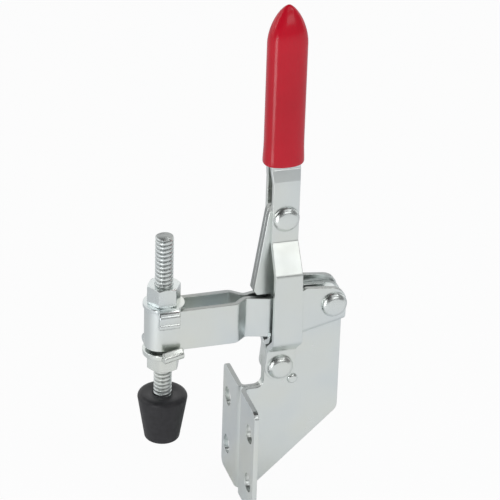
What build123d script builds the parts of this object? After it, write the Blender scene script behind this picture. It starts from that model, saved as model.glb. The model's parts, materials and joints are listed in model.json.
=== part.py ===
from build123d import *
from math import cos, radians, sin, sqrt, tan
import os

# Vertical-handle toggle clamp with a front-mounting flange and a U-bar arm.
# Frame: millimetres, +Z up, the arm reaches out along -X, near side -Y, far side +Y.
# Origin: centre of the four bolt holes, on the mounting face of the flanges (x = 0).
# The clamp is drawn closed, with the handle upright and the arm level.

# ---- sheet gauges and fits -------------------------------------------------
body_sheet = 2.2
handle_sheet = 2.5
arm_sheet = 2.3
link_sheet = 3.0
side_gap = 0.05          # between the faces of plates that slide past each other
pivot_gap = 0.05         # radial clearance of a turning hole on its rivet
bend_radius = 1.5        # inside radius of the sharp bends
round_flat = 0.1         # left straight between two quarter rounds that form a rounded end

# ---- pivots, in side view (x, z) -------------------------------------------
handle_pivot = (17.0, 37.5)
arm_pivot = (39.5, 67.3)
link_top_pivot = (17.0, 110.5)
link_low_pivot = (18.2, 64.0)

# ---- rivets ----------------------------------------------------------------
rivet_shank = 6.0
rivet_head = 11.6
rivet_head_height = 2.4
rivet_rim = 0.3          # share of a head's height that is straight, under its sloping shoulder
rivet_slope = 46.0       # of the shoulder, from the rivet's axis
low_rivet_head = 8.4     # the link's lower rivet swings up in front of the body plates
low_rivet_height = 1.0
bush_wall = 2.2          # spacer between the arm's strips, round the arm's rivet
small_rivet_place = (23.6, 29.3)
small_rivet_shank = 3.0
small_rivet_head = 4.8
small_rivet_height = 1.1

# ---- mounting flanges ------------------------------------------------------
flange_half_width = 24.0
flange_top = 26.5
flange_bottom = -26.5
flange_corner = 3.5
bolt_pitch_y = 33.0
bolt_pitch_z = 25.0
bolt_hole = 8.6

# ---- body plate outline ----------------------------------------------------
web_front = 10.5         # front edge above the notch
web_rear = 45.1
heel_x = 4.5             # where the sloping lower edge starts, behind the flange
heel_z = 11.2            # where it meets the rear edge
crown_front = (25.0, 76.8)
crown_rear_z = 74.6
throat = (24.0, 58.2)    # inside corner in front of the arm's rivet
lip_z = 56.0             # top of the low front part
notch_radius = 3.6
crown_radius = 7.0
heel_radius = 5.0
web_rounding = 2.5       # the other corners of the web
crease_tilt = 14.0       # the joggle runs up to the rear at this angle
joggle_low = 12.4        # start and end of the joggle, square to the crease,
joggle_high = 15.8       # both measured from the handle's rivet

# ---- arm -------------------------------------------------------------------
arm_top = 72.5
arm_bottom = 53.6
loop_half_width = 7.0
spindle_x = -34.7
loop_lead = 1.4          # the loop's round end lies this far ahead of the spindle
slot_end = -4.2          # the strips start to close in here
neck_x = 1.0
neck_gap = 0.2
flare_end = 11.5
arm_bend = 2.5           # inside radius of the arm's gentle bends
arm_heel_radius = 6.2
arm_rise_x = 12.0        # the lower edge rises to the heel behind this place
arm_rise_radius = 12.0

# ---- handle ----------------------------------------------------------------
tab_half_width = 6.9
tab_flat = 3.0           # flat left above the pivot rivet's head, under the joggle
cheek_rise = 7.1         # height of the joggle from the tab out to the cheek
cheek_high = 86.0
neck_low = 99.5
neck_high = 127.0
shank_low = 133.0        # the two plates lie together above this
shank_top = 196.0
handle_front = 11.0      # front edge of the cheeks and the neck
cheek_rear = 24.2
cheek_rear_top = 23.3    # the cheeks narrow towards the top
neck_rear = 22.8
shank_front = 9.6
shank_rear = 23.4
shank_shoulder = 139.0   # full width from here up
shank_rounding = 6.5
joggle_radius = 3.0

# ---- link ------------------------------------------------------------------
link_nose = (4.4, 75.6)
link_under = 73.4        # above the arm's upper edge
link_eye = 6.2
link_rear = 22.4
link_nose_radius = 1.0
link_toe = 1.6           # how far the underside leans back below the nose
link_shoulder = 2.0      # the rear edge leans forward above this height over the low pivot
link_head_front = 10.6
link_head_top = 116.4
link_head_radius = 5.5

# ---- grip ------------------------------------------------------------------
grip_low = 133.5
grip_tip = 206.4
grip_arch = 18.0         # height of the pointed arch
grip_width = 18.0
grip_depth = 13.0
grip_rounding = 6.2      # on the long edges, nearly half the depth
grip_mouth = 1.0         # bevel of the lower edge
tip_half_width = 3.0     # of the small arc that closes the arch
tip_rise = 2.0

# ---- spindle, nuts and washers ---------------------------------------------
thread = 7.9
thread_gap = 0.05
spindle_top = 106.0
spindle_bottom = 12.0
spindle_chamfer = 0.8
nut_flats = 13.0
nut_face = 0.93          # diameter of the nut's flat end, as a share of the flats
nut_chamfer = 50.0       # slope of the turned corners, down from the flat end
upper_nut_height = 6.5
lower_nut_height = 7.5
lower_nut_turn = 8.0
washer_sheet = 2.0
washer_radius = 9.0
washer_hole = 8.5
washer_bend = 0.3        # inside radius where the ears turn
lower_washer_turn = 8.0
ear_width = 9.0
ear_height = 5.2         # above or below the washer's seat
ear_overhang = 3.9       # how far the fold stands out from the strip
ear_lean = 2.0           # how far the ear leans back in from the fold to its tip

# ---- rubber cap ------------------------------------------------------------
cap_top = 29.6
cap_bottom = 7.0
cap_top_radius = 10.9
cap_bottom_radius = 7.6
cap_rim = 1.5            # height of the straight rim
cap_bevel = 0.9          # round the foot and round the rim

# ---- places worked out from the above --------------------------------------
arm_inner = link_sheet + side_gap
arm_outer = arm_inner + arm_sheet
body_inner = arm_outer + side_gap
body_outer = body_inner + body_sheet
tab_inner = body_sheet + side_gap
tab_outer = tab_inner + handle_sheet
cheek_inner = body_outer + rivet_head_height + 4 * side_gap
neck_inner = link_sheet + side_gap
neck_outer = neck_inner + handle_sheet
loop_x = spindle_x - loop_lead
turning_radius = rivet_shank / 2 + pivot_gap
ear_bend = loop_half_width + ear_overhang
ear_tip = ear_bend - ear_lean
tab_crease = handle_pivot[1] + rivet_head / 2 + tab_flat
cheek_low = tab_crease + cheek_rise
reach = shank_top - flange_bottom      # longer than any plate, for cutting profiles to outline


side = Plane(origin=(0, 0, 0), x_dir=(1, 0, 0), z_dir=(0, -1, 0))   # seen from the near side


def side_plane(place, depth=0.0):
    """Plane seen from the near side, centred on a side-view place, at y = -depth."""
    return Plane(origin=(place[0], -depth, place[1]), x_dir=(1, 0, 0), z_dir=(0, -1, 0))


def formed_head(place, depth, way, diameter, height):
    """Rivet head that stands on y = -depth: a short rim, then a slope up to a flat top."""
    rim = height * rivet_rim
    with BuildPart() as head:
        with BuildSketch(side_plane(place, depth)):
            Circle(diameter / 2)
        extrude(amount=way * rim)
        with BuildSketch(side_plane(place, depth + way * rim)):
            Circle(diameter / 2)
        extrude(amount=way * (height - rim), taper=rivet_slope)
    return head.part


def rivet(place, half_length, head, head_height, shank):
    """Solid rivet along Y with a formed head at each end."""
    with BuildPart() as pin:
        with BuildSketch(side_plane(place)):
            Circle(shank / 2)
        extrude(amount=half_length, both=True)
        for way in (1, -1):
            add(formed_head(place, way * half_length, way, head, head_height))
    return pin.part


def nut(height, base, turn):
    """Hexagon nut on the spindle, with both faces turned down to a chamfer."""
    point = nut_flats / sqrt(3)
    rim = nut_flats / 2 * nut_face
    drop = (point - rim) * tan(radians(nut_chamfer))
    with BuildPart() as hexagon:
        with BuildSketch(Plane((spindle_x, 0, base))):
            RegularPolygon(radius=point, side_count=6, rotation=turn)
        extrude(amount=height)
        with BuildSketch(Plane((spindle_x, 0, base), x_dir=(1, 0, 0), z_dir=(0, -1, 0))):
            with BuildLine():
                Polyline((0, 0), (rim, 0), (point, drop), (point, height - drop), (rim, height),
                         (0, height), close=True)
            make_face()
        revolve(axis=Axis((spindle_x, 0, base), (0, 0, 1)), mode=Mode.INTERSECT)
        with BuildSketch(Plane((spindle_x, 0, base))):
            Circle(thread / 2 + thread_gap)
        extrude(amount=height, mode=Mode.SUBTRACT)
    return hexagon.part


def washer(seat, way, turn):
    """Round washer with two ears folded back towards the strips: way = 1 points them up."""
    along = (cos(radians(turn)), sin(radians(turn)), 0)
    across = (-sin(radians(turn)), cos(radians(turn)), 0)
    flat_z = seat - way * washer_sheet / 2
    tip_z = seat + way * ear_height
    with BuildPart() as saddle:
        with BuildSketch(Plane(origin=(spindle_x, 0, 0), x_dir=across, z_dir=along)):
            with BuildLine():
                FilletPolyline((-ear_tip, tip_z), (-ear_bend, flat_z), (ear_bend, flat_z), (ear_tip, tip_z),
                               radius=washer_sheet / 2 + washer_bend)
            trace(line_width=washer_sheet)
        extrude(amount=2 * washer_radius, both=True)
        with BuildSketch(Plane(origin=(spindle_x, 0, seat - reach / 2), x_dir=along, z_dir=(0, 0, 1))):
            Circle(washer_radius)
            Rectangle(ear_width, 2 * (ear_bend + washer_sheet))
        extrude(amount=reach, mode=Mode.INTERSECT)
        with BuildSketch(Plane.XY.offset(seat - 2 * washer_sheet)):
            with Locations((spindle_x, 0)):
                Circle(washer_hole / 2)
        extrude(amount=4 * washer_sheet, mode=Mode.SUBTRACT)
    return saddle.part


def corner(place):
    """The corner of the sketch being drawn that lies nearest to a place in it."""
    return vertices().sort_by_distance((place[0], place[1], 0))[0]


os.makedirs("parts", exist_ok=True)

# ---- body plates: flange, flat web, and a joggle that makes room for the arm ----
crease_plane = Plane(
    origin=(handle_pivot[0], 0, handle_pivot[1]),
    x_dir=(-sin(radians(crease_tilt)), 0, cos(radians(crease_tilt))),
    z_dir=(cos(radians(crease_tilt)), 0, sin(radians(crease_tilt))),
)
web_start = body_sheet + bend_radius
web_middle = body_sheet / 2
upper_middle = body_inner + body_sheet / 2
heel_corner = (web_rear, heel_z)
crown_corner = (web_rear, crown_rear_z)
lip_corner = (web_front, lip_z)
notch_corner = (web_front, flange_top)

with BuildPart() as body_plate_near:
    with BuildSketch(crease_plane):
        with BuildLine():
            FilletPolyline((-reach, web_middle), (joggle_low, web_middle), (joggle_high, upper_middle),
                           (reach, upper_middle), radius=bend_radius + body_sheet / 2)
        trace(line_width=body_sheet)
    extrude(amount=reach, both=True)
    with BuildSketch(side):
        with BuildLine():
            Polyline(
                (web_start, flange_bottom), (heel_x, flange_bottom), heel_corner,
                crown_corner, crown_front, throat, lip_corner, notch_corner,
                (web_start - notch_radius, flange_top), (web_start - notch_radius, flange_bottom), close=True,
            )
        make_face()
        fillet(corner(heel_corner), radius=heel_radius)
        fillet(corner(crown_corner), radius=crown_radius)
        fillet([corner(crown_front), corner(throat), corner(lip_corner)], radius=web_rounding)
        fillet(corner(notch_corner), radius=notch_radius)
        split(bisect_by=Plane.YZ.offset(web_start), keep=Keep.TOP)
    extrude(amount=reach, mode=Mode.INTERSECT)
    with BuildSketch(Plane.XY.offset(flange_bottom)):
        with BuildLine():
            FilletPolyline((web_start, -web_middle), (web_middle, -web_middle),
                           (web_middle, -flange_half_width), radius=bend_radius + body_sheet / 2)
        trace(line_width=body_sheet)
    extrude(amount=flange_top - flange_bottom)
    fillet(body_plate_near.edges().filter_by(Axis.X).group_by(Axis.Y)[0], radius=flange_corner)
    with BuildSketch(Plane.YZ):
        with Locations((-bolt_pitch_y / 2, bolt_pitch_z / 2), (-bolt_pitch_y / 2, -bolt_pitch_z / 2)):
            Circle(bolt_hole / 2)
    extrude(amount=body_sheet, mode=Mode.SUBTRACT)
    with BuildSketch(side):
        with Locations(handle_pivot, arm_pivot):
            Circle(rivet_shank / 2)
        with Locations(small_rivet_place):
            Circle(small_rivet_shank / 2)
    extrude(amount=reach, mode=Mode.SUBTRACT)
body_plate_near.part.label = "body_plate_near"
export_step(body_plate_near.part, "parts/body_plate_near.step")

with BuildPart() as body_plate_far:
    mirror(body_plate_near.part, about=Plane.XZ)
body_plate_far.part.label = "body_plate_far"
export_step(body_plate_far.part, "parts/body_plate_far.step")

# ---- arm: one strip folded round the spindle, pinched together, then spread again ----
strip_middle = loop_half_width - arm_sheet / 2
neck_middle = (arm_sheet + neck_gap) / 2
fork_middle = arm_inner + arm_sheet / 2
arm_rear = arm_pivot[0] + arm_heel_radius
arm_heel_z = arm_pivot[1] - arm_heel_radius

with BuildPart() as arm_bar:
    with BuildSketch(Plane.XY.offset(arm_bottom)):
        with BuildLine():
            CenterArc((loop_x, 0), strip_middle, 90, 180)
            for way in (1, -1):
                FilletPolyline(
                    (loop_x, way * strip_middle), (slot_end, way * strip_middle), (neck_x, way * neck_middle),
                    (flare_end, way * fork_middle), (reach, way * fork_middle),
                    radius=arm_bend + arm_sheet / 2,
                )
        trace(line_width=arm_sheet)
    extrude(amount=arm_pivot[1] + reach)
    with BuildSketch(side):
        with BuildLine():
            Polyline(
                (-reach, arm_bottom), (arm_rise_x, arm_bottom), (arm_pivot[0], arm_heel_z),
                (arm_rear, arm_heel_z), (arm_rear, arm_top), (-reach, arm_top), close=True,
            )
        make_face()
        fillet(corner((arm_rear, arm_heel_z)), radius=arm_heel_radius - round_flat)
        fillet(corner((arm_rear, arm_top)), radius=arm_top - arm_pivot[1])
        fillet(corner((arm_rise_x, arm_bottom)), radius=arm_rise_radius)
    extrude(amount=reach, both=True, mode=Mode.INTERSECT)
    with BuildSketch(side):
        with Locations(arm_pivot):
            Circle(turning_radius)
        with Locations(link_low_pivot):
            Circle(rivet_shank / 2)
    extrude(amount=reach, both=True, mode=Mode.SUBTRACT)
arm_bar.part.label = "arm_bar"
export_step(arm_bar.part, "parts/arm_bar.step")

with BuildPart() as arm_pivot_bush:
    with BuildSketch(side_plane(arm_pivot)):
        Circle(rivet_shank / 2 + bush_wall)
        Circle(turning_radius, mode=Mode.SUBTRACT)
    extrude(amount=arm_inner, both=True)
arm_pivot_bush.part.label = "arm_pivot_bush"
export_step(arm_pivot_bush.part, "parts/arm_pivot_bush.step")

# ---- handle: a pair of joggled plates, apart at the cheeks and together in the grip ----
def joggled_half():
    """Near plate of the handle: tab, cheek, neck and shank in one bent strip."""
    tab = tab_inner + handle_sheet / 2
    cheek = cheek_inner + handle_sheet / 2
    neck = neck_inner + handle_sheet / 2
    shank = handle_sheet / 2
    with BuildPart() as plate:
        with BuildSketch(Plane.YZ):
            with BuildLine():
                FilletPolyline(
                    (-tab, 0), (-tab, tab_crease), (-cheek, cheek_low), (-cheek, cheek_high),
                    (-neck, neck_low), (-neck, neck_high), (-shank, shank_low), (-shank, shank_top),
                    radius=joggle_radius,
                )
            trace(line_width=handle_sheet)
        extrude(amount=reach, both=True)
        with BuildSketch(side):
            with BuildLine():
                tab_left = (handle_pivot[0] - tab_half_width, handle_pivot[1])
                tab_right = (handle_pivot[0] + tab_half_width, handle_pivot[1])
                ThreePointArc(tab_left, (handle_pivot[0], handle_pivot[1] - tab_half_width), tab_right)
                Polyline(
                    tab_right, (cheek_rear, cheek_low), (cheek_rear_top, cheek_high),
                    (neck_rear, neck_low), (neck_rear, neck_high),
                    (shank_rear, shank_shoulder), (shank_rear, shank_top),
                    (shank_front, shank_top), (shank_front, shank_shoulder),
                    (handle_front, neck_high), (handle_front, tab_crease), tab_left,
                )
            make_face()
            fillet([corner((shank_rear, shank_top)), corner((shank_front, shank_top))], radius=shank_rounding)
        extrude(amount=reach, mode=Mode.INTERSECT)
        with BuildSketch(side):
            with Locations(handle_pivot):
                Circle(turning_radius)
            with Locations(link_top_pivot):
                Circle(rivet_shank / 2)
        extrude(amount=reach, mode=Mode.SUBTRACT)
    return plate.part


with BuildPart() as handle_plate_near:
    add(joggled_half())
handle_plate_near.part.label = "handle_plate_near"
export_step(handle_plate_near.part, "parts/handle_plate_near.step")

with BuildPart() as handle_plate_far:
    mirror(handle_plate_near.part, about=Plane.XZ)
handle_plate_far.part.label = "handle_plate_far"
export_step(handle_plate_far.part, "parts/handle_plate_far.step")

# ---- grip: a thick moulded sleeve, flat oval in section, with a pointed arch on top ----
grip_x = (shank_front + shank_rear) / 2
arch_start = grip_tip - grip_arch
shoulder_x = grip_width / 2
tip_z = grip_tip - tip_rise

with BuildPart() as handle_grip:
    with BuildSketch(side_plane((grip_x, 0))):
        with BuildLine():
            tip = ThreePointArc((-tip_half_width, tip_z), (0, grip_tip), (tip_half_width, tip_z))
            Spline((-shoulder_x, arch_start), tip @ 0, tangents=[(0, 1), tip % 0])
            Spline(tip @ 1, (shoulder_x, arch_start), tangents=[tip % 1, (0, -1)])
            Polyline((shoulder_x, arch_start), (shoulder_x, grip_low), (-shoulder_x, grip_low),
                     (-shoulder_x, arch_start))
        make_face()
    extrude(amount=grip_depth / 2, both=True)
    faces_round_the_side = handle_grip.faces().sort_by(Axis.Y)
    long_edges = faces_round_the_side[0].edges() + faces_round_the_side[-1].edges()
    fillet(long_edges.sort_by(Axis.Z)[2:], radius=grip_rounding)
    chamfer(handle_grip.faces().sort_by(Axis.Z)[0].edges(), length=grip_mouth)
    add(handle_plate_near.part, mode=Mode.SUBTRACT)
    add(handle_plate_far.part, mode=Mode.SUBTRACT)
handle_grip.part.label = "handle_grip"
export_step(handle_grip.part, "parts/handle_grip.step")

# ---- toggle link: two flat plates side by side ----
for name, way in (("link_plate_near", 1), ("link_plate_far", -1)):
    with BuildPart() as link_plate:
        with BuildSketch(side):
            with BuildLine():
                Polyline(
                    (link_rear, link_head_top), (link_head_front, link_head_top), link_nose,
                    (link_nose[0] + link_toe, link_under), (link_low_pivot[0] - link_eye, link_under),
                    (link_low_pivot[0] - link_eye, link_low_pivot[1] - link_eye),
                    (link_low_pivot[0] + link_eye, link_low_pivot[1] - link_eye),
                    (link_low_pivot[0] + link_eye, link_low_pivot[1] + link_shoulder), close=True,
                )
            make_face()
            fillet(corner(link_nose), radius=link_nose_radius)
            for place in ((link_rear, link_head_top), (link_head_front, link_head_top)):
                fillet(corner(place), radius=link_head_radius)
            for across in (-link_eye, link_eye):
                foot = (link_low_pivot[0] + across, link_low_pivot[1] - link_eye)
                fillet(corner(foot), radius=link_eye - round_flat)
            with Locations(link_top_pivot):
                Circle(rivet_shank / 2, mode=Mode.SUBTRACT)
            with Locations(link_low_pivot):
                Circle(turning_radius, mode=Mode.SUBTRACT)
        extrude(amount=way * link_sheet)
    link_plate.part.label = name
    export_step(link_plate.part, "parts/" + name + ".step")

# ---- rivets ----
with BuildPart() as handle_pivot_rivet:
    add(rivet(handle_pivot, tab_outer, rivet_head, rivet_head_height, rivet_shank))
handle_pivot_rivet.part.label = "handle_pivot_rivet"
export_step(handle_pivot_rivet.part, "parts/handle_pivot_rivet.step")

with BuildPart() as arm_pivot_rivet:
    add(rivet(arm_pivot, body_outer, rivet_head, rivet_head_height, rivet_shank))
arm_pivot_rivet.part.label = "arm_pivot_rivet"
export_step(arm_pivot_rivet.part, "parts/arm_pivot_rivet.step")

with BuildPart() as body_rivet:
    add(rivet(small_rivet_place, body_sheet, small_rivet_head, small_rivet_height, small_rivet_shank))
body_rivet.part.label = "body_rivet"
export_step(body_rivet.part, "parts/body_rivet.step")

with BuildPart() as link_low_rivet:
    add(rivet(link_low_pivot, arm_outer, low_rivet_head, low_rivet_height, rivet_shank))
link_low_rivet.part.label = "link_low_rivet"
export_step(link_low_rivet.part, "parts/link_low_rivet.step")

# The link's top rivet, in three lengths: the middle turns with the link and
# each end with its plate of the handle.
with BuildPart() as top_rivet_middle:
    with BuildSketch(side_plane(link_top_pivot)):
        Circle(rivet_shank / 2)
    extrude(amount=link_sheet, both=True)
top_rivet_middle.part.label = "top_rivet_middle"
export_step(top_rivet_middle.part, "parts/top_rivet_middle.step")

for name, way in (("top_rivet_end_near", 1), ("top_rivet_end_far", -1)):
    with BuildPart() as rivet_end:
        with BuildSketch(side_plane(link_top_pivot, way * neck_inner)):
            Circle(rivet_shank / 2)
        extrude(amount=way * handle_sheet)
        add(formed_head(link_top_pivot, way * neck_outer, way, rivet_head, rivet_head_height))
    rivet_end.part.label = name
    export_step(rivet_end.part, "parts/" + name + ".step")

# ---- spindle, nuts, washers and rubber cap ----
with BuildPart() as spindle:
    with BuildSketch(Plane.XY.offset(spindle_bottom)):
        with Locations((spindle_x, 0)):
            Circle(thread / 2)
    extrude(amount=spindle_top - spindle_bottom)
    chamfer(spindle.faces().sort_by(Axis.Z)[-1].edges(), length=spindle_chamfer)
spindle.part.label = "spindle"
export_step(spindle.part, "parts/spindle.step")

for name, height, base, turn in (
    ("upper_nut", upper_nut_height, arm_top + washer_sheet, 0),
    ("lower_nut", lower_nut_height, arm_bottom - washer_sheet - lower_nut_height, lower_nut_turn),
):
    with BuildPart() as clamp_nut:
        add(nut(height, base, turn))
    clamp_nut.part.label = name
    export_step(clamp_nut.part, "parts/" + name + ".step")

for name, seat, way, turn in (
    ("upper_washer", arm_top, -1, 0),
    ("lower_washer", arm_bottom, 1, lower_washer_turn),
):
    with BuildPart() as clamp_washer:
        add(washer(seat, way, turn))
    clamp_washer.part.label = name
    export_step(clamp_washer.part, "parts/" + name + ".step")

with BuildPart() as rubber_cap:
    with BuildSketch(Plane((spindle_x, 0, 0), x_dir=(1, 0, 0), z_dir=(0, -1, 0))):
        with BuildLine():
            Polyline((0, cap_bottom), (cap_bottom_radius, cap_bottom), (cap_top_radius, cap_top - cap_rim),
                     (cap_top_radius, cap_top), (thread / 2, cap_top), (thread / 2, spindle_bottom),
                     (0, spindle_bottom), close=True)
        make_face()
        chamfer(corner((cap_bottom_radius, cap_bottom)), length=cap_bevel)
        chamfer(corner((cap_top_radius, cap_top)), length=cap_bevel)
    revolve(axis=Axis((spindle_x, 0, 0), (0, 0, 1)))
rubber_cap.part.label = "rubber_cap"
export_step(rubber_cap.part, "parts/rubber_cap.step")
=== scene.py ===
import json
import math

import bmesh
import bpy
import numpy as np
from mathutils import Matrix, Vector


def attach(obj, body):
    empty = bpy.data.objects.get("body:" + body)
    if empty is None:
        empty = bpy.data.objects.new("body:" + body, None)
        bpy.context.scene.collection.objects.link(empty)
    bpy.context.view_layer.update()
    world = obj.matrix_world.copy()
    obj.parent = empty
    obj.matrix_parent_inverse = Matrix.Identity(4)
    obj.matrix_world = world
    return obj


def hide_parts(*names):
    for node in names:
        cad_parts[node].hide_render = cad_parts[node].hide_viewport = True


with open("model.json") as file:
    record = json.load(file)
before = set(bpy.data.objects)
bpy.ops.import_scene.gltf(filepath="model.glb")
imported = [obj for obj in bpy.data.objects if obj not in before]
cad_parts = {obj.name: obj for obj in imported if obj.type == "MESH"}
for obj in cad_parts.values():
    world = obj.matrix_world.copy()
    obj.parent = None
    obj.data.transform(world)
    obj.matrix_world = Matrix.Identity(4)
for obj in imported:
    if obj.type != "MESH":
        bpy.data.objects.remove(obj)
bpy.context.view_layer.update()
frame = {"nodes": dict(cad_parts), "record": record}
print("frame loaded:", len(frame["nodes"]), "nodes")

spindleX = -0.0347      # the spindle stands upright on x = spindleX, y = 0


# adds a node of the given kind, with its sockets and settings filled in
def addNode(tree, kind, inputs=None, **settings):
    node = tree.nodes.new("ShaderNode" + kind)
    for key, value in settings.items():
        setattr(node, key, value)
    for key, value in (inputs or {}).items():
        if isinstance(value, bpy.types.NodeSocket):
            tree.links.new(value, node.inputs[key])
        else:
            node.inputs[key].default_value = value
    return node


# the result of one Math node
def worked(tree, operation, first, second):
    return addNode(tree, "Math", {0: first, 1: second}, operation=operation).outputs["Value"]


# a value mapped from the limits onto the levels, in a straight line or an S
def mapped(tree, value, limits, levels, kind="LINEAR"):
    return addNode(tree, "MapRange", {
        "Value": value, "From Min": limits[0], "From Max": limits[1],
        "To Min": levels[0], "To Max": levels[1],
    }, interpolation_type=kind).outputs["Result"]


# a new material with an empty tree
def emptyMaterial(name):
    material = bpy.data.materials.new(name)
    material.use_nodes = True
    material.node_tree.nodes.clear()
    return material, material.node_tree


# an empty material with its Principled shader and its output
def startMaterial(name, **shaderInputs):
    material, tree = emptyMaterial(name)
    sockets = {key.replace("_", " "): value for key, value in shaderInputs.items()}
    shader = addNode(tree, "BsdfPrincipled", sockets)
    addNode(tree, "OutputMaterial", {"Surface": shader.outputs["BSDF"]})
    return material, tree, shader


# noise of a (scale, detail) pair on Object coordinates that are multiplied by stretch
def objectNoise(tree, kind, stretch=(1, 1, 1)):
    place = addNode(tree, "TexCoord")
    mapping = addNode(tree, "Mapping", {"Vector": place.outputs["Object"], "Scale": stretch})
    noise = addNode(tree, "TexNoise", {
        "Vector": mapping.outputs["Vector"], "Scale": kind[0], "Detail": kind[1]})
    return noise.outputs["Fac"]


# a colour ramp between two or more (position, colour) stops
def colourRamp(tree, factor, stops):
    ramp = addNode(tree, "ValToRGB", {"Fac": factor})
    elements = ramp.color_ramp.elements
    while len(elements) < len(stops):
        elements.new(0.5)
    for element, (position, colour) in zip(elements, stops):
        element.position = position
        element.color = (*colour, 1)
    return ramp.outputs["Color"]


# a mesh as an object in the scene, of the same name
def addPiece(mesh):
    piece = bpy.data.objects.new(mesh.name, mesh)
    bpy.context.scene.collection.objects.link(piece)
    return piece


# a mesh from a grid of points closed round its second direction; its two ends are capped, or
# joined by the wall of a bore; rows climb and columns run counter-clockwise, so faces look out
def gridMesh(name, points, bored=False):
    rows, columns = points.shape[:2]
    index = np.arange(rows * columns).reshape(rows, columns)
    left = np.vstack([index, index[:1]]) if bored else index
    right = np.roll(left, -1, axis=1)
    quads = np.stack([left[:-1], right[:-1], right[1:], left[1:]], axis=-1).reshape(-1, 4)
    faces = quads.tolist()
    if not bored:
        faces.append(index[0, ::-1].tolist())
        faces.append(index[-1].tolist())
    mesh = bpy.data.meshes.new(name)
    mesh.from_pydata(points.reshape(-1, 3).tolist(), [], faces)
    return mesh


# the turns of a full circle, as one row
def turnsAround(count):
    return np.linspace(0, 2 * np.pi, count, endpoint=False)[None, :]


# points at radius r and turn a about the upright axis through x, at height z
def roundGrid(x, r, a, z):
    r, a, z = np.broadcast_arrays(r, a, z)
    return np.stack([x + r * np.cos(a), r * np.sin(a), z], axis=-1)


# a profile of (radius, z) rows turned about the upright axis through x
def turnedAlongZ(x, radii, heights, around):
    return roundGrid(x, radii[:, None], turnsAround(around), heights[:, None])


# smooth faces, with a sharp edge wherever two of them meet at more than sharpPast degrees
def shadeSmooth(piece, sharpPast):
    mesh = piece.data
    mesh.polygons.foreach_set("use_smooth", np.ones(len(mesh.polygons), dtype=bool))
    mesh.set_sharp_from_angle(angle=math.radians(sharpPast))


# gives an object one finish and no other
def dress(piece, material):
    piece.data.materials.clear()
    piece.data.materials.append(material)


camera = {
    "place": (-0.29404, -0.94165, 0.62040),
    "azimuth": -17.403,
    "elevation": 28.0,
    "roll": 1.762,
    "sensor": 36.0,
    "lens": 188.93,
    "shiftX": 0.00874,
    "shiftY": -0.00392,
    "seesTo": 20.0,
}


# back is (sin azimuth cos elevation, -cos azimuth cos elevation, sin elevation); right and up
# stand at right angles to it, turned by roll
def addCamera(settings):
    turn = math.radians(settings["azimuth"])
    lift = math.radians(settings["elevation"])
    roll = math.radians(settings["roll"])
    back = Vector((
        math.sin(turn) * math.cos(lift), -math.cos(turn) * math.cos(lift), math.sin(lift)))
    right = Vector((math.cos(turn), math.sin(turn), 0))
    up = back.cross(right)
    rolledRight = math.cos(roll) * right + math.sin(roll) * up
    rolledUp = -math.sin(roll) * right + math.cos(roll) * up
    data = bpy.data.cameras.new("camera")
    data.sensor_width = settings["sensor"]
    data.lens = settings["lens"]
    data.shift_x = settings["shiftX"]
    data.shift_y = settings["shiftY"]
    data.clip_end = settings["seesTo"]
    viewer = bpy.data.objects.new("camera", data)
    turned = Matrix((rolledRight, rolledUp, back)).transposed().to_4x4()
    viewer.matrix_world = Matrix.Translation(settings["place"]) @ turned
    bpy.context.scene.collection.objects.link(viewer)
    bpy.context.scene.camera = viewer


addCamera(camera)
print("camera placed")


studio = {
    "floorZ": -0.0268,
    "floorSize": 6.0,
    "floorColour": (0.88, 0.88, 0.88),
    "floorWhite": 0.94,             # share of plain white in what the camera sees of the floor
    "floorMirrored": (0.45, 0.05),  # the same for what the metal mirrors, in front and behind
    "floorFade": (-0.06, 0.04),     # y between which front turns to behind
    "roomStrength": 0.62,
    "roomShades": [                 # from straight below at 0 to overhead at 1
        (0.0, (0.80, 0.80, 0.80)),
        (0.5, (0.95, 0.96, 0.97)),
        (1.0, (0.62, 0.64, 0.67))],
    "walls": (0.22, 1.0),           # the room as the metal mirrors it: behind the lens, backdrop
    "wallFade": (-0.25, 0.25),      # y of the direction between which one wall turns to the other
    "ceiling": 0.2,                 # the level that it falls to overhead
    "ceilingFade": (0.55, 0.9),     # z of the direction between which it falls
    "darkCorner": (-0.683, -0.549, 0.478),
    "darkReach": (0.80, 0.97),      # cosines between which the dark corner sets in
    "darkLevel": 0.12,              # and the level in it
}
lamps = {
    # name: place, width and height, watts, aim
    "keyLamp": ((0.38, -1.25, 0.74), (0.9, 0.42), 1.8, (0, 0, 0.08)),
    "topLamp": ((0.5, 0.5, 1.3), (0.5, 0.4), 1.6, (0, 0, 0.08)),
    "stripLamp": ((-0.25, -0.21, 0.09), (0.1, 0.2), 0.2, (0.017, 0, 0.12)),
    "sideLamp": ((-1.25, 0.1, 0.75), (0.3, 0.9), 1.6, (0, 0, 0.08)),
    "crownLamp": ((0.22, -0.62, 1.05), (0.7, 0.5), 0.75, (0, 0, 0.08)),
    "earLamp": ((0.57, -0.455, 0.85), (0.26, 0.26), 0.4, (0, 0, 0.08)),
}


# the largest of the given kinds' flags: 1 for those rays and 0 for the rest
def rayShare(tree, kinds):
    path = addNode(tree, "LightPath")
    share = path.outputs[kinds[0]]
    for kind in kinds[1:]:
        share = worked(tree, "MAXIMUM", share, path.outputs[kind])
    return share


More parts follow.
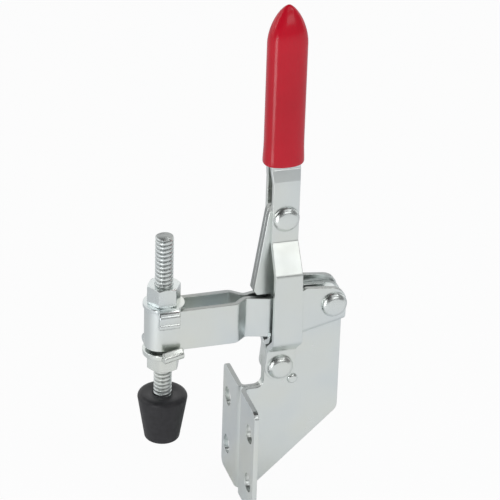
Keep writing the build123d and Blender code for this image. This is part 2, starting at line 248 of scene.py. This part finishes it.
# a flat square with a matt pale finish, mixed with plain white by floorWhite where the camera
# sees it and by a share that falls from front to behind where the metal mirrors it
def addFloor(settings):
    half, z = settings["floorSize"] / 2, settings["floorZ"]
    corners = [(-half, -half, z), (half, -half, z), (half, half, z), (-half, half, z)]
    mesh = bpy.data.meshes.new("floor")
    mesh.from_pydata(corners, [], [(0, 1, 2, 3)])
    floor = addPiece(mesh)
    material, tree = emptyMaterial("paleFloor")
    plain = addNode(tree, "BsdfDiffuse", {"Color": (*settings["floorColour"], 1)})
    white = addNode(tree, "Emission", {"Color": (1, 1, 1, 1), "Strength": 1.0})
    seen = rayShare(tree, ["Is Camera Ray", "Is Transmission Ray"])
    direct = worked(tree, "MULTIPLY", seen, settings["floorWhite"])
    place = addNode(tree, "SeparateXYZ", {"Vector": addNode(tree, "TexCoord").outputs["Object"]})
    fade = mapped(
        tree, place.outputs["Y"], settings["floorFade"], settings["floorMirrored"], "SMOOTHSTEP")
    mirrored = worked(tree, "MULTIPLY", rayShare(tree, ["Is Glossy Ray"]), fade)
    whiteShare = worked(tree, "MAXIMUM", direct, mirrored)
    mix = addNode(tree, "MixShader", {
        0: whiteShare, 1: plain.outputs["BSDF"], 2: white.outputs["Emission"]})
    addNode(tree, "OutputMaterial", {"Surface": mix.outputs["Shader"]})
    dress(floor, material)


# the room lights with a soft gradient; metal mirrors the product of wall, ceiling and corner
# levels instead, and a ray straight from the camera sees plain white
def addWorld(settings):
    world = bpy.data.worlds.new("studio")
    bpy.context.scene.world = world
    world.use_nodes = True
    tree = world.node_tree
    tree.nodes.clear()
    direction = addNode(tree, "TexCoord").outputs["Generated"]
    split = addNode(tree, "SeparateXYZ", {"Vector": direction}).outputs
    shades = colourRamp(tree, mapped(tree, split["Z"], (-1, 1), (0, 1)), settings["roomShades"])
    room = addNode(tree, "Background", {"Color": shades, "Strength": settings["roomStrength"]})
    wall = mapped(tree, split["Y"], settings["wallFade"], settings["walls"], "SMOOTHSTEP")
    ceiling = mapped(
        tree, split["Z"], settings["ceilingFade"], (1, settings["ceiling"]), "SMOOTHSTEP")
    towardsCorner = addNode(tree, "VectorMath", {
        0: direction, 1: settings["darkCorner"]}, operation="DOT_PRODUCT").outputs["Value"]
    corner = mapped(
        tree, towardsCorner, settings["darkReach"], (1, settings["darkLevel"]), "SMOOTHSTEP")
    level = worked(tree, "MULTIPLY", worked(tree, "MULTIPLY", wall, ceiling), corner)
    direct = rayShare(tree, ["Is Camera Ray", "Is Transmission Ray"])
    seen = addNode(tree, "Background", {
        "Color": (1, 1, 1, 1), "Strength": worked(tree, "MAXIMUM", level, direct)})
    share = rayShare(tree, ["Is Camera Ray", "Is Glossy Ray", "Is Transmission Ray"])
    mix = addNode(tree, "MixShader", {
        0: share, 1: room.outputs["Background"], 2: seen.outputs["Background"]})
    addNode(tree, "OutputWorld", {"Surface": mix.outputs["Shader"]})


# a soft rectangular lamp that shines from its place towards its aim
def addLamp(name, place, size, power, aim):
    data = bpy.data.lights.new(name, "AREA")
    data.shape = "RECTANGLE"
    data.size, data.size_y = size
    data.energy = power
    lamp = bpy.data.objects.new(name, data)
    towards = Vector(aim) - Vector(place)
    facing = towards.to_track_quat("-Z", "Y").to_matrix().to_4x4()
    lamp.matrix_world = Matrix.Translation(place) @ facing
    bpy.context.scene.collection.objects.link(lamp)


bpy.context.scene.view_settings.view_transform = "Standard"
addFloor(studio)
addWorld(studio)
for name, numbers in lamps.items():
    addLamp(name, *numbers)
print("studio ready")


zincPlate = {
    "tints": [                  # cool, neutral and warm
        (0.35, (0.73, 0.78, 0.79)),
        (0.5, (0.77, 0.81, 0.795)),
        (0.68, (0.785, 0.81, 0.76))],
    "drift": (28.0, 2.0),       # scale and detail of the noise behind the tints,
    "cloud": (160.0, 5.0),      # the roughness
    "grain": (900.0, 3.0),      # and the upright grain
    "grainStretch": (1, 1, 0.25),
    "grainStrength": 0.35,
    "grainDepth": 0.00006,
    "rough": (0.24, 0.36),
    "edgeRadius": 0.00025,
    "edgeSamples": 4,
    # painted shade: the plates' sheared edge faces are darkened to this share of the face colour
    "edgeShadeShare": 0.5,         # the sheared edges of the plates, as a share of the face colour
}
fastenerZinc = {**zincPlate, "rough": (0.2, 0.32)}
grooveZinc = {
    **zincPlate,
    "rough": (0.32, 0.42),
    # painted shade in the thread's grooves, darker towards the root
    "groove": {"between": (0.0034, 0.00385), "dark": 0.5},      # from near the root to the crest
}


# a colour times a grey
def scaleColour(tree, colour, grey):
    shaded = addNode(tree, "VectorMath", {0: colour, "Scale": grey}, operation="SCALE")
    return shaded.outputs["Vector"]


# painted shade in the thread's grooves: the colour times a grey that falls towards the thread's
# root, read from the distance to its axis
def paintedGrooveShade(tree, colour, settings):
    place = addNode(tree, "TexCoord")
    fromAxis = addNode(tree, "VectorMath", {
        0: place.outputs["Object"], 1: (spindleX, 0, 0)}, operation="SUBTRACT")
    level = addNode(tree, "VectorMath", {
        0: fromAxis.outputs["Vector"], 1: (1, 1, 0)}, operation="MULTIPLY")
    radius = addNode(tree, "VectorMath", {0: level.outputs["Vector"]}, operation="LENGTH")
    grey = mapped(tree, radius.outputs["Value"], settings["between"], (settings["dark"], 1))
    return scaleColour(tree, colour, grey)


# bright zinc: a slow cool-to-warm drift, painted shade on the plates' sheared edge faces where
# the edge attribute is 1, painted shade in the thread's grooves when there is a groove entry,
# cloudy roughness, a fine upright grain and softened edges
def zincMaterial(name, settings):
    material, tree, shader = startMaterial(name, Metallic=1.0)
    colour = colourRamp(tree, objectNoise(tree, settings["drift"]), settings["tints"])
    # painted shade: the colour is darkened on the plates' sheared edge faces
    sheared = addNode(tree, "Attribute", attribute_name="paintedEdgeShade")
    colour = scaleColour(
        tree, colour, mapped(tree, sheared.outputs["Fac"], (0, 1), (1, settings["edgeShadeShare"])))
    # painted shade in the thread's grooves
    if "groove" in settings:
        colour = paintedGrooveShade(tree, colour, settings["groove"])
    tree.links.new(colour, shader.inputs["Base Color"])
    cloud = objectNoise(tree, settings["cloud"])
    tree.links.new(mapped(tree, cloud, (0, 1), settings["rough"]), shader.inputs["Roughness"])
    soften = addNode(
        tree, "Bevel", {"Radius": settings["edgeRadius"]}, samples=settings["edgeSamples"])
    bump = addNode(tree, "Bump", {
        "Height": objectNoise(tree, settings["grain"], settings["grainStretch"]),
        "Strength": settings["grainStrength"],
        "Distance": settings["grainDepth"],
        "Normal": soften.outputs["Normal"],
    })
    tree.links.new(bump.outputs["Normal"], shader.inputs["Normal"])
    return material


# links a bump of the given height, strength and depth to the shader's normal
def addBump(tree, shader, height, strength, depth):
    bump = addNode(tree, "Bump", {"Height": height, "Strength": strength, "Distance": depth})
    tree.links.new(bump.outputs["Normal"], shader.inputs["Normal"])


gripRed = {
    "reds": [(0.35, (0.55, 0.0035, 0.018)), (0.65, (0.63, 0.0045, 0.022))],
    "roughness": 0.17,
    "gloss": 0.4,
    "sheen": 0.25,
    "sheenRoughness": 0.4,
    "sheenTint": (1.0, 0.35, 0.5),
    "pigment": (45.0, 3.0),     # scale and detail of the noise behind the reds
    "ripple": (60.0, 2.0),      # and the ripple
    "rippleStrength": 0.3,
    "rippleDepth": 0.0006,
}


# glossy vinyl: two close reds mixed by slow noise, under a faint ripple and a pink sheen
def redVinyl(name, settings):
    material, tree, shader = startMaterial(
        name, Roughness=settings["roughness"], Specular_IOR_Level=settings["gloss"],
        Sheen_Weight=settings["sheen"], Sheen_Roughness=settings["sheenRoughness"],
        Sheen_Tint=(*settings["sheenTint"], 1))
    reds = colourRamp(tree, objectNoise(tree, settings["pigment"]), settings["reds"])
    tree.links.new(reds, shader.inputs["Base Color"])
    ripple = objectNoise(tree, settings["ripple"])
    addBump(tree, shader, ripple, settings["rippleStrength"], settings["rippleDepth"])
    return material


capRubber = {
    "blacks": [(0.3, (0.0095, 0.0092, 0.0113)), (0.75, (0.020, 0.0195, 0.0232))],
    "roughness": 0.46,
    "dust": (420.0, 6.0),       # scale and detail of the noise
    "dustStrength": 0.4,
    "dustDepth": 0.0001,
}


# matt rubber: fine noise mixes two near-blacks and raises the same grain
def rubberMaterial(name, settings):
    material, tree, shader = startMaterial(name, Roughness=settings["roughness"])
    dust = objectNoise(tree, settings["dust"])
    blacks = colourRamp(tree, dust, settings["blacks"])
    tree.links.new(blacks, shader.inputs["Base Color"])
    addBump(tree, shader, dust, settings["dustStrength"], settings["dustDepth"])
    return material


threadZinc = zincMaterial("zincThread", grooveZinc)
finishOf = {
    "zinc_plate": zincMaterial("zincPlate", zincPlate),
    "zinc_fastener": zincMaterial("zincFastener", fastenerZinc),
    "red_grip": redVinyl("redVinyl", gripRed),
    "black_rubber": rubberMaterial("blackRubber", capRubber),
}
slotOf = {part["node"]: part["material_slot"] for part in frame["record"]["subparts"]}
bodies = frame["record"]["behaviour"]["bodies"]
bodyOf = {node: body for body, nodes in bodies.items() for node in nodes}
for nodeName, slotName in slotOf.items():
    dress(frame["nodes"][nodeName], finishOf[slotName])
print("finishes on")


# a finished piece takes the place, the body and the finish slot of the CAD node it stands for
def standsFor(piece, nodeName):
    dress(piece, finishOf[slotOf[nodeName]])
    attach(piece, bodyOf[nodeName])
    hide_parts(nodeName)


softEdges = {
    # node: width of the rolled edge
    "body_plate_near": 0.00028,
    "body_plate_far": 0.00028,
    "handle_plate_near": 0.00028,
    "handle_plate_far": 0.00028,
    "arm_bar": 0.00028,
    "link_plate_near": 0.00045,
    "link_plate_far": 0.00045,
}
edgeWork = {
    "mergeWithin": 2e-6,
    "flatWithin": 0.3,          # degrees that joined faces may turn by
    "sharperThan": 30.0,        # degrees past which an edge is rolled
    "segments": 2,
    "flatWeight": 80,
    "uprightPast": 0.8,         # a face whose normal stands this upright is a sheared edge
    "sidewaysUnder": 0.3,       # and so is a link face whose normal leans this little to the side
}
neckJoggle = {
    "from": 0.127,
    "pressedOver": 0.006,       # height over which the plates close in,
    "easedOver": 0.015,         # and over which they do so here
    "step": 0.00305,
}


# lets the handle's neck close in more gently: each point moves out by the step times the share
# that is already pressed in less the share that the longer slope has reached
def easeNeck(mesh, settings):
    points = np.empty(len(mesh.vertices) * 3)
    mesh.vertices.foreach_get("co", points)
    points = points.reshape(-1, 3)
    above = points[:, 2] - settings["from"]
    pressed = np.clip(above / settings["pressedOver"], 0, 1)
    eased = np.clip(above / settings["easedOver"], 0, 1)
    points[:, 1] += np.sign(points[:, 1].mean()) * settings["step"] * (pressed - eased)
    mesh.vertices.foreach_set("co", points.ravel())
    mesh.update()


# marks the sheared edges of a plate for painted shade: 1 on faces whose normal stands upright
# and, on a link, on those that don't face sideways
def markEdgeShade(mesh, isLink, work):
    normals = np.empty(len(mesh.polygons) * 3)
    mesh.polygons.foreach_get("normal", normals)
    sideways, upright = np.abs(normals.reshape(-1, 3)[:, 1:]).T
    sheared = (upright > work["uprightPast"]) | (isLink & (sideways < work["sidewaysUnder"]))
    mark = mesh.attributes.new("paintedEdgeShade", "FLOAT", "FACE")
    mark.data.foreach_set("value", sheared.astype(float))


# a copy of a CAD node with its doubles merged, its flat faces joined and its sheared edges
# marked for painted shade; a live bevel rounds every edge that turns by more than sharperThan
def softenedCopy(nodeName, width, work):
    shell = bmesh.new()
    shell.from_mesh(frame["nodes"][nodeName].data)
    bmesh.ops.remove_doubles(shell, verts=shell.verts, dist=work["mergeWithin"])
    bmesh.ops.dissolve_limit(
        shell, angle_limit=math.radians(work["flatWithin"]), verts=shell.verts, edges=shell.edges)
    mesh = bpy.data.meshes.new(nodeName + "_softened")
    shell.to_mesh(mesh)
    shell.free()
    markEdgeShade(mesh, nodeName.startswith("link"), work)
    if nodeName.startswith("handle_plate"):
        easeNeck(mesh, neckJoggle)
    mesh.polygons.foreach_set("use_smooth", np.ones(len(mesh.polygons), dtype=bool))
    piece = addPiece(mesh)
    bevel = piece.modifiers.new("rolledEdges", "BEVEL")
    bevel.width = width
    bevel.segments = work["segments"]
    bevel.limit_method = "ANGLE"
    bevel.angle_limit = math.radians(work["sharperThan"])
    bevel.use_clamp_overlap = False
    bevel.miter_outer = "MITER_ARC"
    flat = piece.modifiers.new("flatFaces", "WEIGHTED_NORMAL")
    flat.weight = work["flatWeight"]
    standsFor(piece, nodeName)


for nodeName, width in softEdges.items():
    softenedCopy(nodeName, width, edgeWork)
print("edges softened")


spindleThread = {
    "bottom": 0.012,
    "top": 0.106,
    "radius": 0.00395,
    "depth": 0.00062,
    "pitch": 0.0019,
    "groove": 0.62,             # share of the pitch that the rounded groove takes
    "around": 48,
    "rowsPerTurn": 16,
    "bevel": 0.0004,
    "sharpPast": 60,
}


# radius at turn a and height z: the crest less a raised-cosine groove whose phase climbs one
# pitch a turn, under a plain bevel at both ends
def threadSurface(settings):
    length = settings["top"] - settings["bottom"]
    rows = int(length / settings["pitch"] * settings["rowsPerTurn"])
    z = np.linspace(settings["bottom"], settings["top"], rows)[:, None]
    a = turnsAround(settings["around"])
    phase = (z / settings["pitch"] - a / (2 * np.pi)) % 1.0
    across = np.clip((phase - 0.5) / settings["groove"], -0.5, 0.5)
    groove = 0.5 + 0.5 * np.cos(2 * np.pi * across)
    fromEnd = np.minimum(z - settings["bottom"], settings["top"] - z)
    r = settings["radius"] - settings["depth"] * groove
    r = np.minimum(r, settings["radius"] - settings["bevel"] + fromEnd)
    return roundGrid(spindleX, r, a, z)


spindlePiece = addPiece(gridMesh("threaded_spindle", threadSurface(spindleThread)))
shadeSmooth(spindlePiece, spindleThread["sharpPast"])
standsFor(spindlePiece, "spindle")
dress(spindlePiece, threadZinc)
print("spindle threaded")


clampNuts = {
    "flats": 0.013,
    "hole": 0.0040,
    "face": 0.0065,             # radius of the flat ends
    "slope": 28.0,              # degrees of the turned corners, from the flat end
    "cornerTrim": 0.988,        # the six corners are eased by this share
    "aroundEach": 18,
    "rowsPerEnd": 22,
    "sharpPast": 22,
    "nuts": {
        # node: low end, high end, turn in degrees
        "upper_nut": (0.07453, 0.0831, 0.0),
        "lower_nut": (0.0430, 0.0503, 8.0),
    },
}


# radius at turn a and height z: the smaller of the hexagon's, apothem / cos of the turn from the
# flat's middle, and a cone's that opens from the nearer end
def nutSurface(low, high, turn, settings):
    a = turnsAround(6 * settings["aroundEach"])
    sector = np.mod(a, np.pi / 3) - np.pi / 6
    apothem = settings["flats"] / 2
    point = apothem / math.cos(math.pi / 6) * settings["cornerTrim"]
    hexagon = np.minimum(apothem / np.cos(sector), point)
    steepness = math.tan(math.radians(settings["slope"]))
    crown = np.linspace(0, (point - settings["face"]) * steepness, settings["rowsPerEnd"])
    z = np.concatenate([low + crown, high - crown[::-1]])[:, None]
    fromEnd = np.minimum(z - low, high - z)
    r = np.minimum(hexagon, settings["face"] + fromEnd / steepness)
    bore = np.full_like(r[:1], settings["hole"])
    r = np.vstack([bore, r, bore])
    z = np.vstack([[[low]], z, [[high]]])
    return roundGrid(spindleX, r, a + math.radians(turn), z)


for nodeName, (low, high, turn) in clampNuts["nuts"].items():
    surface = nutSurface(low, high, turn, clampNuts)
    nutPiece = addPiece(gridMesh(nodeName + "_turned", surface, bored=True))
    shadeSmooth(nutPiece, clampNuts["sharpPast"])
    standsFor(nutPiece, nodeName)
print("nuts turned")


earWashers = {
    "sheet": 0.00196,
    "sunk": 0.00002,            # how far the ear's strip lies under the disc's faces
    "discRadius": 0.0090,
    "hole": 0.00425,
    "edge": 0.0004,             # rounding of every edge
    "earWidth": 0.0092,
    "inner": 0.0050,            # where the ear's strip starts, hidden in the disc
    "beadHeight": 0.0008,
    "around": 96,
    "edgeSteps": 5,
    "foldSteps": 12,
    "earSteps": 20,
    "sharpPast": 35,
    "washers": {
        # seat is the height of the face on the arm and way the ears' direction; fold is how far
        # out the bend reaches and radius its middle radius; the ear then runs on for length,
        # leaning in by lean, with a bead over the last part; turn and tilt are in degrees
        "upper_washer": {
            "seat": 0.07252, "way": -1, "thick": 0.0020, "turn": 0.0, "tilt": 0.0,
            "fold": 0.0104, "radius": 0.0019, "length": 0.0044, "lean": 0.0014, "bead": 0.0028,
        },
        "lower_washer": {
            "seat": 0.0528, "way": 1, "thick": 0.0027, "turn": 11.0, "tilt": 5.0,
            "fold": 0.0110, "radius": 0.0013, "length": 0.0015, "lean": 0.0014, "bead": 0.0,
        },
    },
}


# the disc as a turned rectangle with rounded outer edges
def discSurface(own, settings):
    turn = np.linspace(0, np.pi / 2, settings["edgeSteps"])
    edge, thick, hole = settings["edge"], own["thick"], settings["hole"]
    corner = settings["discRadius"] - edge + edge * np.sin(turn)
    rise = edge - edge * np.cos(turn)
    radii = np.concatenate([[hole], corner, corner[::-1], [hole]])
    heights = np.concatenate([[0], rise, thick - rise[::-1], [thick]])
    base = own["seat"] if own["way"] < 0 else own["seat"] - thick
    return turnedAlongZ(0.0, radii, base + heights, settings["around"])


# the ear's middle line in steps of (outward, height): straight out, round the bend until it
# leans back in, then straight to the tip
def earPath(own, settings):
    way, length, lean, radius = own["way"], own["length"], own["lean"], own["radius"]
    flat = own["seat"] - way * (own["thick"] - settings["sunk"] - settings["sheet"] / 2)
    turn = np.linspace(0, np.pi / 2 + math.atan2(lean, length), settings["foldSteps"])
    bendOut = own["fold"] - radius + radius * np.sin(turn)
    bendUp = flat + way * radius * (1 - np.cos(turn))
    steps = np.linspace(0, 1, settings["earSteps"])[1:]
    out = np.concatenate([[settings["inner"]], bendOut, bendOut[-1] - lean * steps])
    up = np.concatenate([[flat], bendUp, bendUp[-1] + way * length * steps])
    return out, up


# a rectangle of (across, depth) points with four rounded corners, counter-clockwise
def stripSection(settings):
    edge = settings["edge"]
    turn = np.linspace(0, np.pi / 2, settings["edgeSteps"])
    quarter = np.stack([np.cos(turn), np.sin(turn)], axis=-1) * edge
    centre = np.array([settings["earWidth"] / 2 - edge, settings["sheet"] / 2 - edge])
    corners = [
        (quarter + centre) * [1, 1],
        (quarter[::-1] + centre) * [-1, 1],
        (quarter + centre) * [-1, -1],
        (quarter[::-1] + centre) * [1, -1]]
    return np.concatenate(corners), centre[0]


# the strip's section carried along the ear's path: across is x and depth lies on the path's
# normal; it shrinks by a quarter circle at the tip, beside a half-round bead on the outside
def earSurface(side, own, settings):
    out, up = earPath(own, settings)
    alongOut, alongUp = np.gradient(out), np.gradient(up)
    size = np.hypot(alongOut, alongUp)
    normalOut, normalUp = alongUp / size * own["way"], -alongOut / size * own["way"]
    section, reach = stripSection(settings)
    fromEnd = np.cumsum(size[::-1])[::-1]
    bead = np.zeros_like(out)
    if own["bead"] > 0:
        across = np.clip(fromEnd / own["bead"] * 2 - 1, -1, 1)
        bead = settings["beadHeight"] * np.sqrt(1 - across ** 2)
    closing = np.clip((fromEnd - size[-1]) / settings["edge"], 0, 1)
    shrink = settings["edge"] * (1 - np.sqrt(1 - (1 - closing) ** 2))
    width = section[None, :, 0] * (1 - shrink / reach)[:, None]
    depth = section[None, :, 1] * (1 - shrink / (settings["sheet"] / 2))[:, None]
    depth = np.where(section[None, :, 1] > 0, depth + bead[:, None], depth)
    y = side * (out[:, None] + normalOut[:, None] * depth)
    z = up[:, None] + normalUp[:, None] * depth
    return np.stack([width, y, z], axis=-1)


# a grid turned about the spindle's axis, then tilted about a line along Y through the middle of
# the disc, each by cosine and sine of its angle
def setOnSpindle(grid, own):
    tilt, turn = math.radians(own["tilt"]), math.radians(own["turn"])
    middle = own["seat"] - own["way"] * own["thick"] / 2
    x, y, z = grid[..., 0], grid[..., 1], grid[..., 2] - middle
    x, y = x * math.cos(turn) - y * math.sin(turn), x * math.sin(turn) + y * math.cos(turn)
    x, z = x * math.cos(tilt) - z * math.sin(tilt), x * math.sin(tilt) + z * math.cos(tilt)
    return np.stack([x + spindleX, y, z + middle], axis=-1)


# disc and two ears as one mesh of closed shells, with every shell turned to face outwards
def washerPiece(nodeName, own, settings):
    ears = [earSurface(side, own, settings) for side in (-1, 1)]
    shell = bmesh.new()
    for grid, bored in [(discSurface(own, settings), True), (ears[0], False), (ears[1], False)]:
        part = gridMesh(nodeName + "_shell", setOnSpindle(grid, own), bored)
        shell.from_mesh(part)
        bpy.data.meshes.remove(part)
    bmesh.ops.recalc_face_normals(shell, faces=shell.faces)
    mesh = bpy.data.meshes.new(nodeName + "_folded")
    shell.to_mesh(mesh)
    shell.free()
    return addPiece(mesh)


for nodeName, own in earWashers["washers"].items():
    piece = washerPiece(nodeName, own, earWashers)
    shadeSmooth(piece, earWashers["sharpPast"])
    standsFor(piece, nodeName)
print("washers folded")


rivetHeads = {
    "around": 72,
    "shoulderSteps": 8,
    "rimShare": 0.2,            # of the head's height that stands straight
    "topShare": 0.6,            # of its radius that stays flat
    "bulge": 0.5,               # 0 is a straight cone for a shoulder, 1 a quarter ellipse
    "sharpPast": 40,
    "rivets": {
        # node: place (x, z), radius and height of the head, radius of the shank, y of the plate
        # under the head, and y of the plain end of a rivet with only one head
        "handle_pivot_rivet": ((0.017, 0.0375), 0.0058, 0.0024, 0.003, 0.00475, None),
        "arm_pivot_rivet": ((0.0395, 0.0673), 0.0058, 0.0024, 0.003, 0.0076, None),
        "body_rivet": ((0.0236, 0.0293), 0.0024, 0.0011, 0.0015, 0.0022, None),
        "link_low_rivet": ((0.0182, 0.0640), 0.0042, 0.0010, 0.003, 0.00535, None),
        "top_rivet_end_near": ((0.017, 0.1105), 0.0058, 0.0024, 0.003, -0.00555, -0.00305),
        "top_rivet_end_far": ((0.017, 0.1105), 0.0058, 0.0024, 0.003, 0.00555, 0.00305),
    },
}


# one head from its flat out and down to the plate: the shoulder is a mean of a straight cone
# and a quarter ellipse, weighted by bulge
def headProfile(radius, height, face, settings):
    along = np.linspace(1, 0, settings["shoulderSteps"])
    turn = along * np.pi / 2
    flat, rim = radius * settings["topShare"], height * settings["rimShare"]
    bulge = settings["bulge"]
    radii = flat + (radius - flat) * ((1 - bulge) * (1 - along) + bulge * np.cos(turn))
    heights = rim + (height - rim) * ((1 - bulge) * along + bulge * np.sin(turn))
    return np.append(radii, radius), face + np.append(heights, 0.0)


# the whole profile from +y to -y: head, shank and mirrored head, or head, shank and plain end
def rivetProfile(radius, height, shank, face, inner, settings):
    radii, depths = headProfile(radius, height, abs(face), settings)
    if inner is None:
        radii = np.concatenate([radii, [shank, shank], radii[::-1]])
        depths = np.concatenate([depths, [face, -face], -depths[::-1]])
        return radii, depths
    radii = np.append(radii, [shank, shank])
    depths = np.append(depths, [abs(face), abs(inner)])
    return (radii, depths) if face > 0 else (radii[::-1], -depths[::-1])


# a profile of (radius, y) rows turned about an axis along Y through the place
def turnedAlongY(place, radii, depths, around):
    r, a, y = np.broadcast_arrays(radii[:, None], turnsAround(around), depths[:, None])
    return np.stack([place[0] + r * np.cos(a), y, place[1] + r * np.sin(a)], axis=-1)


for nodeName, (place, *numbers) in rivetHeads["rivets"].items():
    radii, depths = rivetProfile(*numbers, rivetHeads)
    surface = turnedAlongY(place, radii, depths, rivetHeads["around"])
    rivetPiece = addPiece(gridMesh(nodeName + "_formed", surface))
    shadeSmooth(rivetPiece, rivetHeads["sharpPast"])
    standsFor(rivetPiece, nodeName)
print("rivets formed")


vinylGrip = {
    "x": 0.0165,
    "low": 0.1346,
    "tip": 0.20638,
    "archHeight": 0.0172,
    "halfWidth": 0.00862,
    "halfDepth": 0.0062,
    "squareness": 2.25,         # exponent of the oval: 2 is an ellipse, more is squarer
    "archPowers": (1.8, 1.5),   # how full the arch is lengthwise and across
    "depthPower": 1.05,         # how much sooner the depth closes than the width
    "lip": 0.0013,              # the mouth rolls under over this height
    "lipIn": 0.0011,
    "flare": 0.00028,           # and swells a little above that
    "flareHeight": 0.005,
    "crowding": 0.35,           # less of this draws the rows closer to the mouth
    "tipHalf": 0.00001,         # half width left at the very tip
    "rows": 170,
    "around": 128,
    "sharpPast": 60,
}


# half width and depth at height z: full along the sleeve, a rounded arch (1 - (1 - u)^p)^(1/q)
# over the top, a slight swelling and a rolled lip at the mouth; each section is a superellipse
def gripSurface(settings):
    t = np.linspace(0, 1, settings["rows"])
    length = settings["tip"] - settings["low"]
    crowding = settings["crowding"]
    z = settings["low"] + length * np.sin(t * np.pi / 2) * (crowding + (1 - crowding) * t)
    u = np.clip((settings["tip"] - z) / settings["archHeight"], 0, 1)
    along, across = settings["archPowers"]
    full = (1 - (1 - u) ** along) ** (1 / across)
    above = z - settings["low"]
    rolled = np.clip(1 - above / settings["lip"], 0, 1)
    inward = settings["lipIn"] * (1 - np.sqrt(1 - rolled ** 2))
    swell = settings["flare"] * np.exp(-((above - settings["lip"]) / settings["flareHeight"]) ** 2)
    halfWidth = settings["halfWidth"] * full + swell - inward
    halfDepth = settings["halfDepth"] * full ** settings["depthPower"] + swell - inward
    halfWidth = np.maximum(halfWidth, settings["tipHalf"])[:, None]
    halfDepth = np.maximum(halfDepth, settings["tipHalf"])[:, None]
    a = turnsAround(settings["around"])
    power = 2 / settings["squareness"]
    x = settings["x"] + halfWidth * np.sign(np.cos(a)) * np.abs(np.cos(a)) ** power
    y = halfDepth * np.sign(np.sin(a)) * np.abs(np.sin(a)) ** power
    return np.stack([x, y, np.broadcast_to(z[:, None], x.shape)], axis=-1)


gripPiece = addPiece(gridMesh("vinyl_grip", gripSurface(vinylGrip)))
shadeSmooth(gripPiece, vinylGrip["sharpPast"])
standsFor(gripPiece, "handle_grip")
print("grip moulded")


footCap = {
    "foot": 0.007,
    "top": 0.0296,
    "footRadius": 0.0078,
    "topRadius": 0.0109,
    "footRound": 0.0015,
    "topRound": 0.0021,
    "holeRadius": 0.0040,
    "holeBevel": 0.0006,
    "holeFloor": 0.0121,
    "around": 96,
    "roundSteps": 9,
    "sharpPast": 50,
}


# profile of (radius, z) rows from the foot's flat, round its edge, up the cone, over the rim
# and down the hole; both rounds are quarter circles
def capProfile(settings):
    turn = np.linspace(0, np.pi / 2, settings["roundSteps"])
    footRound, topRound = settings["footRound"], settings["topRound"]
    foot = np.stack([
        settings["footRadius"] - footRound + footRound * np.sin(turn),
        settings["foot"] + footRound - footRound * np.cos(turn)], axis=-1)
    rim = np.stack([
        settings["topRadius"] - topRound + topRound * np.cos(turn),
        settings["top"] - topRound + topRound * np.sin(turn)], axis=-1)
    hole = np.array([
        [settings["holeRadius"] + settings["holeBevel"], settings["top"]],
        [settings["holeRadius"], settings["top"] - settings["holeBevel"]],
        [settings["holeRadius"], settings["holeFloor"]]])
    rows = np.vstack([foot, rim, hole])
    return rows[:, 0], rows[:, 1]


radii, heights = capProfile(footCap)
capPiece = addPiece(gridMesh("foot_cap", turnedAlongZ(spindleX, radii, heights, footCap["around"])))
shadeSmooth(capPiece, footCap["sharpPast"])
standsFor(capPiece, "rubber_cap")
print("cap moulded")
